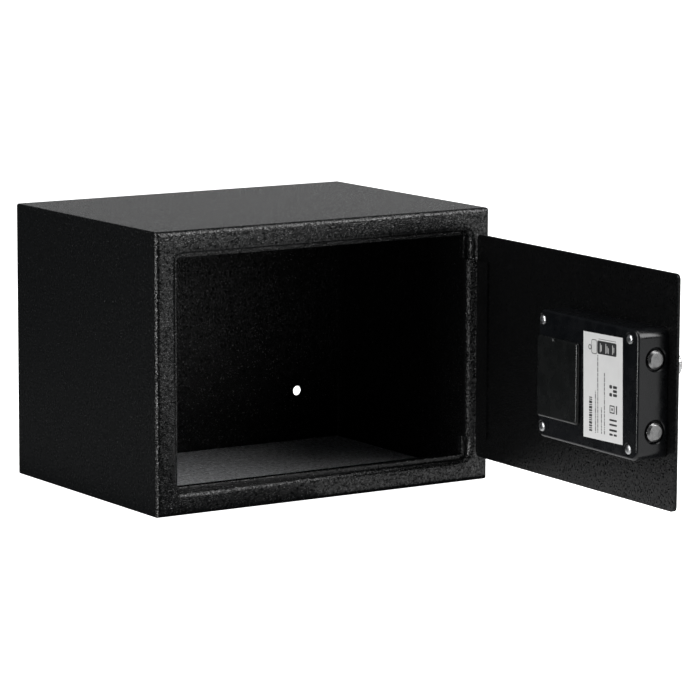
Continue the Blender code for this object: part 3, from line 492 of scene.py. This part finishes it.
# The battery lid's two tongues, and their play in the housing's slots.
TONGUE_XS = (-44 * MM, -8 * MM)
TONGUE_HALF = 2.8 * MM
TONGUE_Z = (88.3 * MM, 89.9 * MM)
TONGUE_PLAY = 0.4 * MM


def make_housing():
    """Moulded shell with screw pockets, chamfered bolt holes, a battery bay and a raised triangle."""
    x0, x1, z0, z1 = HOUSE_LOW.x, HOUSE_HIGH.x, HOUSE_LOW.z, HOUSE_HIGH.z
    back, wall = HOUSE_LOW.y, 2.2 * MM
    shell = soft_block("housing_shell", x0, x1, z0, z1, 8 * MM, "y", back, FACE_Y, 2.4 * MM, 12, 7)
    inside = rounded(x0 + wall, x1 - wall, z0 + wall, z1 - wall, 3.8 * MM)
    carve(shell, "DIFFERENCE", prism("cut", inside, "y", back - PAST, FACE_Y - wall))

    buried = FACE_Y - 1 * MM
    bosses = [prism("boss", circle(x, z, 5 * MM, 32), "y", back, buried) for x, z in SCREW_MIDDLES]
    bay = block("bay", LID_LOW.x, LID_HIGH.x + 0.2 * MM, FACE_Y - BAY_DEPTH - BAY_WALL, buried,
                BAY_Z[0] - BAY_WALL, BAY_Z[1] + BAY_WALL)
    carve(shell, "UNION", bay, *bosses)

    bay_inside = rounded(LID_LOW.x + BAY_WALL, LID_HIGH.x - 1.1 * MM, *BAY_Z, 1.5 * MM)
    tools = [prism("cut", bay_inside, "y", FACE_Y - BAY_DEPTH, FACE_Y + PAST)]
    pocket, flare = 5.3 * MM, 5.9 * MM
    pocket_steps = [(FACE_Y - 1.8 * MM, pocket), (FACE_Y - 0.5 * MM, pocket), (FACE_Y + 0.1 * MM, flare),
                    (FACE_Y + PAST, flare)]
    for x, z in SCREW_MIDDLES:
        tools.append(prism("cut", circle(x, z, 2 * MM, 24), "y", back - PAST, FACE_Y + PAST))
        tools.append(lathe("cut", pocket_steps, "y", x, z, 48))
    bore, mouth = 10.1 * MM, 10.9 * MM
    bore_steps = [(x0 + PAST, bore), (x0 + 0.7 * MM, bore), (x0 - 0.1 * MM, mouth), (x0 - PAST, mouth)]
    for node in BOLT_NODES:
        _, y, z = middle(node)
        tools.append(lathe("cut", bore_steps, "x", y, z, 72))
    _, y, z = middle("reset_button")
    tools.append(prism("cut", circle(y, z, 3.4 * MM, 32), "x", x1 - PAST, x1 + PAST))
    half = TONGUE_HALF + TONGUE_PLAY
    for x in TONGUE_XS:
        tools.append(block("cut", x - half, x + half, FACE_Y - PAST, FACE_Y + PAST,
                           TONGUE_Z[0] - TONGUE_PLAY, TONGUE_Z[1] + TONGUE_PLAY))
    carve(shell, "DIFFERENCE", *tools)

    mark_x, mark_half, mark_foot, mark_top = -16.2 * MM, 3.3 * MM, 162.4 * MM, 166.4 * MM
    triangle = [(mark_x - mark_half, mark_foot), (mark_x + mark_half, mark_foot), (mark_x, mark_top)]
    carve(shell, "UNION", prism("mark", triangle, "y", FACE_Y - 0.5 * MM, FACE_Y + 0.45 * MM))
    fit(shell, HOUSING, "black_plastic", "door", "lock_housing")


def make_lid():
    """Battery lid with softly rounded edges, a finger notch and two tongues."""
    low, high = LID_LOW, LID_HIGH
    wall, gap = 1.6 * MM, 0.3 * MM
    lid = soft_block("battery_lid", low.x, high.x, low.z, high.z, 3.2 * MM, "y", FACE_Y + gap, high.y,
                     2.5 * MM, 8, 8)
    inside = rounded(low.x + wall, high.x - wall, low.z + wall, high.z - wall, 1.6 * MM)
    hollow = prism("cut", inside, "y", FACE_Y - PAST, high.y - 1.4 * MM)
    notch_x, notch_z = -22.5 * MM, high.z + 0.8 * MM
    notch_steps = [(high.y - 1.1 * MM, 4.0 * MM), (high.y - 0.4 * MM, 4.9 * MM),
                   (high.y + 3 * MM, 6.5 * MM)]
    carve(lid, "DIFFERENCE", hollow, lathe("cut", notch_steps, "y", notch_x, notch_z, 48))
    tongues = [block("tongue", x - TONGUE_HALF, x + TONGUE_HALF, low.y, high.y - 0.6 * MM, *TONGUE_Z)
               for x in TONGUE_XS]
    carve(lid, "UNION", *tongues)
    fit(lid, LID, "black_plastic", "battery_cover", "battery_cover")


def make_screws():
    """Domed cross-recess screws, each turned to its own angle."""
    shank, head, brim, dome = 1.7 * MM, 4.4 * MM, 0.8 * MM, 1.6 * MM
    crown, dome_steps = 0.4 * MM, 8
    slot_reach, slot_side, slot_depth = 2.4 * MM, 0.5 * MM, 1.6 * MM
    for node, (x, z), turn in zip(SCREW_NODES, SCREW_MIDDLES, (12, 58, 33, 71)):
        low, high = shut_box(node)
        seat = high.y - brim - dome
        profile = [(low.y, 1 * MM), (low.y + 1 * MM, shank), (seat, shank), (seat, head - 0.1 * MM),
                   (seat + 0.15 * MM, head), (seat + brim, head)]
        for k in range(1, dome_steps):
            angle = math.pi / 2 * k / dome_steps
            radius = crown + (head - crown) * math.cos(angle)
            profile.append((seat + brim + dome * math.sin(angle), radius))
        screw = lathe(node.replace("housing_screw", "screw"), profile, "y", 0, 0, 48)
        slots = []
        for half_x, half_z in ((slot_reach, slot_side), (slot_side, slot_reach)):
            floor = rounded(-half_x / 2, half_x / 2, -half_z / 2, half_z / 2, 0.1 * MM, 2)
            mouth = rounded(-half_x, half_x, -half_z, half_z, 0.2 * MM, 2)
            slots.append(solid("cut", [(floor, high.y - slot_depth), (mouth, high.y + 0.1 * MM)], "y"))
        carve(screw, "DIFFERENCE", *slots)
        screw.data.transform(Matrix.Rotation(math.radians(turn), 4, "Y"))
        screw.data.transform(Matrix.Translation((x, 0, z)))
        fit(screw, ZINC, "zinc", "door", node)


def make_bolts():
    """Round bolts with a broad turned chamfer, 1.5 mm shorter at the tip than their CAD nodes."""
    shorter = 1.5 * MM
    for node in BOLT_NODES:
        low, high = shut_box(node)
        _, y, z = middle(node)
        r = (high.z - low.z) / 2
        tip = low.x + shorter
        profile = [(tip, 5.9 * MM), (tip + 0.12 * MM, 6.25 * MM), (tip + 0.3 * MM, 6.5 * MM),
                   (tip + 1.75 * MM, r - 0.1 * MM), (tip + 2.1 * MM, r), (high.x, r)]
        bolt = lathe(node.replace("bolt", "round_bolt"), profile, "x", y, z, 96)
        fit(bolt, STEEL, "bright_steel", "bolt_carriage", node)


# ---------------------------------------------------------------- label print

def make_label_print():
    """Generic marks on the label, in millimetres from its middle: blocks, bars and plain shapes."""
    low, high = shut_box("rating_label")
    x, _, z = middle("rating_label")
    face = high.y
    thickness, dark_lift, pale_lift = 0.02 * MM, 0.03 * MM, 0.06 * MM
    tilt = Matrix.Rotation(math.radians(1.4), 4, "Y")
    shift = Matrix.Translation((x, 0, z))

    def mark(name, outline, lift=dark_lift):
        """A flat mark; u runs towards the bolts and v up, from the label's middle."""
        outline = [(-u * MM, v * MM) for u, v in outline]
        piece = prism(name, outline, "y", face + lift - thickness, face + lift)
        piece.data.transform(tilt)
        piece.data.transform(shift)
        return piece

    def bar(u0, u1, v0, v1, r=0.15):
        """A flat bar with round corners."""
        return mark("bar", rounded(u0, u1, v0, v1, r, 3))

    # Header panel with its badge and ring, then a column of blocks of uneven length.
    dark = [mark("panel", rounded(-8.2, 20.0, 28.4, 39.8, 1.5, 5)),
            mark("badge", rounded(-17.0, -8.6, 27.6, 40.1, 2.2, 6)),
            bar(-6.5, 19.5, 41.0, 41.4),
            mark("ring", circle(-19.2, 33.0, 2.3, 24))]
    random.seed(7)
    v = -39.6
    while v < -10.2:
        step = random.choice((1.7, 2.3, 2.9))
        dark.append(bar(-20.5, -16.1, v, v + step - 0.7, 0.3))
        v += step
    # Small blocks, an open box with a bar beside it, and a stack of short bars.
    dark += [bar(9.6, 13.6, 0.6, 3.6, 1.0), bar(9.6, 13.6, -6.2, -3.2, 1.0)]
    dark += [bar(15.0, 20.6, v0, v0 + 2.4, 0.5) for v0 in (0.9, -2.5, -5.9)]
    dark += [bar(19.4, 21.0, -20.8, -13.5, 0.2), bar(10.0, 17.2, -20.6, -19.6),
             bar(10.0, 17.2, -14.7, -13.7), bar(10.0, 11.0, -19.8, -14.4), bar(16.2, 17.2, -19.8, -14.4)]
    dark += [bar(9.6, 20.6, -27.2, -25.6, 0.6), bar(9.6, 20.6, -31.2, -29.6, 0.6),
             bar(9.6, 20.6, -36.0, -34.2, 0.6), bar(9.6, 14.6, -39.8, -38.0, 0.6),
             bar(16.0, 20.6, -39.8, -38.0, 0.6)]
    fit(join("label_ink", dark), INK, "label", "door")

    fine = []
    for u, first, last in ((-11.0, -40.4, -4.0), (-7.6, -39.7, 27.3), (-2.1, -40.0, -17.3),
                           (2.3, -39.9, 12.8)):
        v = first
        while v < last:
            step = random.choice((1.6, 2.6, 3.7, 4.9))
            fine.append(bar(u - 0.7, u + 0.7, v, min(v + step - 0.6, last), 0.1))
            v += step
    fine.append(bar(12.2, 15.0, -18.3, -16.0, 0.2))
    fit(join("label_fine_print", fine), GREY_INK, "label", "door")

    pale = [mark("badge_face", rounded(-16.4, -9.2, 28.2, 39.5, 1.7, 6), pale_lift),
            mark("ring_face", circle(-19.2, 33.0, 1.5, 24), pale_lift)]
    for u, first, last in ((-3.8, 30.0, 37.6), (-2.2, 31.0, 36.2), (4.4, 29.6, 38.0), (6.2, 30.4, 36.2),
                           (8.0, 30.0, 34.8), (14.4, 29.8, 37.8), (16.2, 31.4, 36.0)):
        pale.append(mark("bar", rounded(u - 0.4, u + 0.4, first, last, 0.12, 3), pale_lift))
    fit(join("label_pale_print", pale), PALE_INK, "label", "door")


# ---------------------------------------------------------------- outer face

def is_key(name):
    """Whether a node is one of the keypad's keys."""
    return name.startswith("key_") and (name[4:].isdigit() or name in ("key_star", "key_hash"))


def make_fascia():
    """Keypad panel with soft edges and openings for everything that is set into it."""
    low, high = shut_box("keypad_fascia")
    back, front = high.y, low.y
    panel = soft_block("fascia_panel", low.x, high.x, low.z, high.z, 7 * MM, "y", back, front, 1.8 * MM, 8, 6)

    def bore(x, z, radius, start, end, count=32):
        """A round cutting tool."""
        return prism("cut", circle(x, z, radius, count), "y", start, end)

    knob_x, _, knob_z = middle("knob")
    lock_x, _, lock_z = middle("key_cylinder")
    tools = [bore(knob_x, knob_z, 4.4 * MM, front - PAST, back + PAST),
             bore(lock_x, lock_z, 8.5 * MM, front - PAST, back + PAST, 64)]
    key_gap = 0.5 * MM
    for name in NODES:
        if is_key(name):
            a, b = shut_box(name)
            pocket = rounded(a.x - key_gap, b.x + key_gap, a.z - key_gap, b.z + key_gap, 3 * MM)
            tools.append(prism("cut", pocket, "y", front - PAST, back - 1.5 * MM))
        elif name.startswith("lens_"):
            x, _, z = middle(name)
            tools.append(bore(x, z, 2.5 * MM, front - PAST, back - 2 * MM))
    for x, z in SCREW_MIDDLES:
        tools.append(bore(x, z, 1.8 * MM, back - 4 * MM, back + PAST, 24))
    rivet_z = middle("cover_rivet")[2]
    tools.append(bore(lock_x, rivet_z, 1.5 * MM, front - PAST, front + 3 * MM, 24))
    carve(panel, "DIFFERENCE", *tools)
    fit(panel, FASCIA, "black_plastic", "door", "keypad_fascia", rim=0.15 * MM)


def make_digit(name, character, x, y, z):
    """A printed character, standing upright and read from the front."""
    text = bpy.data.curves.new("digit", "FONT")
    text.body = character
    text.size = 8 * MM
    text.extrude = 0.03 * MM
    text.align_x = "CENTER"
    text.align_y = "CENTER"
    source = new_object("digit", text)
    graph = bpy.context.evaluated_depsgraph_get()
    mesh = bpy.data.meshes.new_from_object(source.evaluated_get(graph))
    bpy.data.objects.remove(source)
    stand_up = Matrix(((1, 0, 0, 0), (0, 0, -1, 0), (0, 1, 0, 0), (0, 0, 0, 1)))
    mesh.transform(stand_up)
    mesh.transform(Matrix.Translation((x, y, z)))
    return new_object(name, mesh)


def make_keys():
    """Rubber keys with rounded shoulders and printed digits."""
    signs = {"star": "*", "hash": "#"}
    for name in sorted(n for n in NODES if is_key(n)):
        low, high = shut_box(name)
        key = soft_block(name.replace("key", "pad"), low.x, high.x, low.z, high.z, 2.6 * MM, "y",
                         high.y, low.y, 1.1 * MM, 6, 5)
        fit(key, KEY_RUBBER, "key_rubber", name, name)
        x, _, z = middle(name)
        character = signs.get(name[4:], name[4:])
        digit = make_digit(name.replace("key", "digit"), character, x, low.y + 0.01 * MM, z)
        fit(digit, PALE_INK, "label", name)


def make_knob():
    """Turned knob with a skirt, fine grip lines and an indicator groove."""
    low, high = shut_box("knob")
    x, _, z = middle("knob")
    base, face = high.y, low.y
    # Position along the axis, and radius in millimetres, from the skirt to the dished face.
    steps = ((base, 15.0), (base - 0.3 * MM, 15.3), (base - 2.5 * MM, 15.4), (base - 3.3 * MM, 15.1),
             (base - 3.7 * MM, 14.2), (base - 4.0 * MM, 12.6), (base - 4.6 * MM, 12.0),
             (base - 6 * MM, 11.5), (face + 2.6 * MM, 10.8), (face + 1.6 * MM, 10.6),
             (face + 0.8 * MM, 10.1), (face + 0.25 * MM, 9.3), (face, 8.6), (face + 0.2 * MM, 7.8),
             (face + 0.25 * MM, 2.0))
    facets, line_every, line_depth = 120, 4, 0.25
    layers = []
    for y, r in steps:
        grip = base - 6.5 * MM > y > face + 2 * MM
        outline = []
        for i in range(facets):
            angle = 2 * math.pi * i / facets
            radius = (r - (line_depth if grip and i % line_every == 0 else 0.0)) * MM
            outline.append((x + radius * math.cos(angle), z + radius * math.sin(angle)))
        layers.append((outline, y))
    knob = solid("turning_knob", layers, "y")
    groove_outline = rounded(-0.7 * MM, 0.7 * MM, 3 * MM, 20 * MM, 0.6 * MM)
    groove = prism("cut", groove_outline, "y", face - PAST, face + 0.8 * MM)
    groove.data.transform(Matrix.Rotation(-math.radians(45), 4, "Y"))
    groove.data.transform(Matrix.Translation((x, 0, z)))
    socket = prism("cut", circle(x, z, 4.3 * MM, 32), "y", face + 8.5 * MM, base + PAST)
    carve(knob, "DIFFERENCE", groove, socket)
    fit(knob, CHROME, "satin_chrome", "knob", "knob")


def make_key_cover():
    """Plate over the keyway, and its rivet."""
    low, high = shut_box("key_cover")
    rivet_low, rivet_high = shut_box("cover_rivet")
    x, _, z = middle("cover_rivet")
    cover = soft_block("cover_plate", low.x, high.x, low.z, high.z, 8 * MM, "y", high.y, low.y,
                       0.7 * MM, 10, 5)
    carve(cover, "DIFFERENCE", prism("cut", circle(x, z, 1.5 * MM, 32), "y", low.y - PAST, high.y + PAST))
    fit(cover, CHROME, "satin_chrome", "key_cover", "key_cover")
    out, shank = rivet_low.y, 1.4 * MM
    profile = [(rivet_high.y, shank), (out + 1 * MM, shank), (out + 1 * MM, 2.8 * MM),
               (out + 0.6 * MM, 2.7 * MM), (out + 0.25 * MM, 2.2 * MM), (out, 1.2 * MM)]
    rivet = lathe("plate_rivet", profile, "y", x, z, 32)
    fit(rivet, ZINC, "zinc", "door", "cover_rivet")


def make_lenses():
    """Three domed indicator lenses: red, amber and green."""
    for node, colour in (("lens_left", (0.40, 0.03, 0.02)), ("lens_middle", (0.50, 0.24, 0.02)),
                         ("lens_right", (0.04, 0.30, 0.06))):
        low, high = shut_box(node)
        x, _, z = middle(node)
        profile = [(high.y, 2.2 * MM), (low.y + 0.6 * MM, 2.2 * MM), (low.y + 0.35 * MM, 2.0 * MM),
                   (low.y + 0.12 * MM, 1.5 * MM), (low.y, 0.6 * MM)]
        lens = lathe(node.replace("lens", "lamp"), profile, "y", x, z, 32)
        fit(lens, lens_look(node + "_glow", colour), "lens", "door", node)


# ---------------------------------------------------------------- felt mat

def make_mat():
    """Needle felt cut by hand, as a grid of about 2 mm squares: soft edges and a slightly wavy, fuzzy top."""
    low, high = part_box("floor_mat")
    across, deep = 172, 112
    # In millimetres: how far the top lies under the CAD node's, and its two outermost rows under that.
    sink, edge_drops = 0.2, (1.5, 0.25)
    random.seed(3)
    bm = bmesh.new()
    grid = {}
    for i in range(across + 1):
        for j in range(deep + 1):
            x = low.x + (high.x - low.x) * i / across
            y = low.y + (high.y - low.y) * j / deep
            edge = min(i, j, across - i, deep - j)
            wave = 0.10 * math.sin(x * 31 + 1.3 * math.sin(y * 23)) + 0.08 * math.sin(y * 57 + x * 17)
            fuzz = random.uniform(-0.09, 0.03)
            drop = edge_drops[edge] if edge < len(edge_drops) else 0.0
            grid[i, j] = bm.verts.new((x, y, high.z + (wave - sink + fuzz - drop) * MM))
    for i in range(across):
        for j in range(deep):
            bm.faces.new((grid[i, j], grid[i + 1, j], grid[i + 1, j + 1], grid[i, j + 1]))
    border = ([(i, 0) for i in range(across)] + [(across, j) for j in range(deep)]
              + [(i, deep) for i in range(across, 0, -1)] + [(0, j) for j in range(deep, 0, -1)])
    under = [bm.verts.new((grid[key].co.x, grid[key].co.y, low.z)) for key in border]
    for k, key in enumerate(border):
        following = (k + 1) % len(border)
        bm.faces.new((grid[key], under[k], under[following], grid[border[following]]))
    bm.faces.new(under[::-1])
    bmesh.ops.recalc_face_normals(bm, faces=bm.faces)
    mat = from_bmesh("felt_mat", bm)
    fit(mat, FELT, "felt", "cabinet", "floor_mat", on_door=False, smooth=60)


# ---------------------------------------------------------------- camera

def place_camera():
    """Long lens from the left front, a little above."""
    x, y, z = -1.8727, -3.0089, 0.6726
    yaw, pitch, roll = math.radians(-33.332), math.radians(-8.902), math.radians(0.239)
    forward = Vector((-math.sin(yaw) * math.cos(pitch), math.cos(yaw) * math.cos(pitch), math.sin(pitch)))
    right = Vector((math.cos(yaw), math.sin(yaw), 0.0))
    up = right.cross(forward)
    across = right * math.cos(roll) + up * math.sin(roll)
    above = up * math.cos(roll) - right * math.sin(roll)
    data = bpy.data.cameras.new("camera")
    data.sensor_width = 36.0
    data.lens = 202.08
    data.clip_end = 200.0
    camera = new_object("camera", data)
    camera.matrix_world = Matrix((
        (across.x, above.x, -forward.x, x),
        (across.y, above.y, -forward.y, y),
        (across.z, above.z, -forward.z, z),
        (0.0, 0.0, 0.0, 1.0)))
    bpy.context.scene.camera = camera


# ---------------------------------------------------------------- floor and light

def soft_light(name, place, target, width, height, radiance):
    """A rectangular soft box; its strength is given as the brightness of its face."""
    data = bpy.data.lights.new(name, "AREA")
    data.shape = "RECTANGLE"
    data.size = width
    data.size_y = height
    data.energy = radiance * width * height * math.pi
    lamp = new_object(name, data)
    lamp.location = place
    lamp.rotation_euler = (Vector(target) - Vector(place)).to_track_quat("-Z", "Y").to_euler()
    lamp.visible_camera = False


def aim_light(name, target, azimuth, elevation, distance, width, height, radiance):
    """A soft box placed by compass angle from the front, positive to the right, and by height angle."""
    turn, rise = math.radians(azimuth), math.radians(elevation)
    way = Vector((math.sin(turn) * math.cos(rise), -math.cos(turn) * math.cos(rise), math.sin(rise)))
    soft_light(name, target + way * distance, target, width, height, radiance)


def paper(name, grey):
    """Evenly lit paper, bright enough to show as white."""
    colour, strength = (grey, grey, grey), 1.3
    mat = bpy.data.materials.new(name)
    mat.use_nodes = True
    shader = mat.node_tree.nodes["Principled BSDF"]
    shader.inputs["Base Color"].default_value = (*colour, 1)
    shader.inputs["Roughness"].default_value = 0.9
    shader.inputs["Emission Color"].default_value = (*colour, 1)
    shader.inputs["Emission Strength"].default_value = strength
    return mat


def build_stage():
    """Plain pale floor and surround, which only the camera sees."""
    half = 14.0
    bm = bmesh.new()
    bmesh.ops.create_grid(bm, x_segments=1, y_segments=1, size=half)
    floor = from_bmesh("floor", bm)
    floor.data.materials.append(paper("floor_paper", 0.93))
    bm = bmesh.new()
    bmesh.ops.create_uvsphere(bm, u_segments=48, v_segments=24, radius=half * 1.3)
    surround = from_bmesh("surround", bm)
    surround.data.materials.append(paper("surround_paper", 0.97))
    for obj in (floor, surround):
        obj.visible_glossy = False
        obj.visible_diffuse = False
        obj.visible_shadow = False
        obj.visible_transmission = False


def light_stage():
    """Soft boxes round the object, the floor's glow from below, and a dim room."""
    scene = bpy.context.scene
    world = bpy.data.worlds.new("room")
    world.use_nodes = True
    background = world.node_tree.nodes["Background"]
    background.inputs["Color"].default_value = (0.9, 0.95, 1.0, 1)
    background.inputs["Strength"].default_value = 0.036
    scene.world = world
    scene.view_settings.view_transform = "Standard"
    target = Vector((0.05, -0.15, 0.12))
    # Azimuth and elevation in degrees; distance, width and height in metres; radiance.
    for name, azimuth, elevation, distance, width, height, radiance in (
            ("key", -96, 25, 2.6, 1.4, 1.9, 4.8),
            ("low_left", -82, -2, 1.5, 0.26, 0.42, 22.0),
            ("front", 12, 15, 3.0, 1.2, 1.4, 1.5),
            ("front_right", 42, 32, 3.0, 1.9, 2.0, 5.6),
            ("back", 147, 9, 3.5, 2.8, 1.3, 0.38)):
        aim_light(name, target, azimuth, elevation, distance, width, height, radiance)
    soft_light("top", (0.4, -0.7, 2.2), (0.1, -0.15, 0.0), 1.4, 1.4, 3.0)
    soft_light("floor_glow", (1.3, -1.58, 0.002), (1.3, -1.58, 1.0), 2.6, 2.9, 0.85)
    soft_light("floor_glow_left", (-0.42, 0.2, 0.002), (-0.42, 0.2, 1.0), 0.45, 0.8, 0.05)


make_housing()
make_lid()
make_screws()
make_bolts()
make_label_print()
make_fascia()
make_keys()
make_knob()
make_key_cover()
make_lenses()
make_mat()
build_stage()
light_stage()
place_camera()
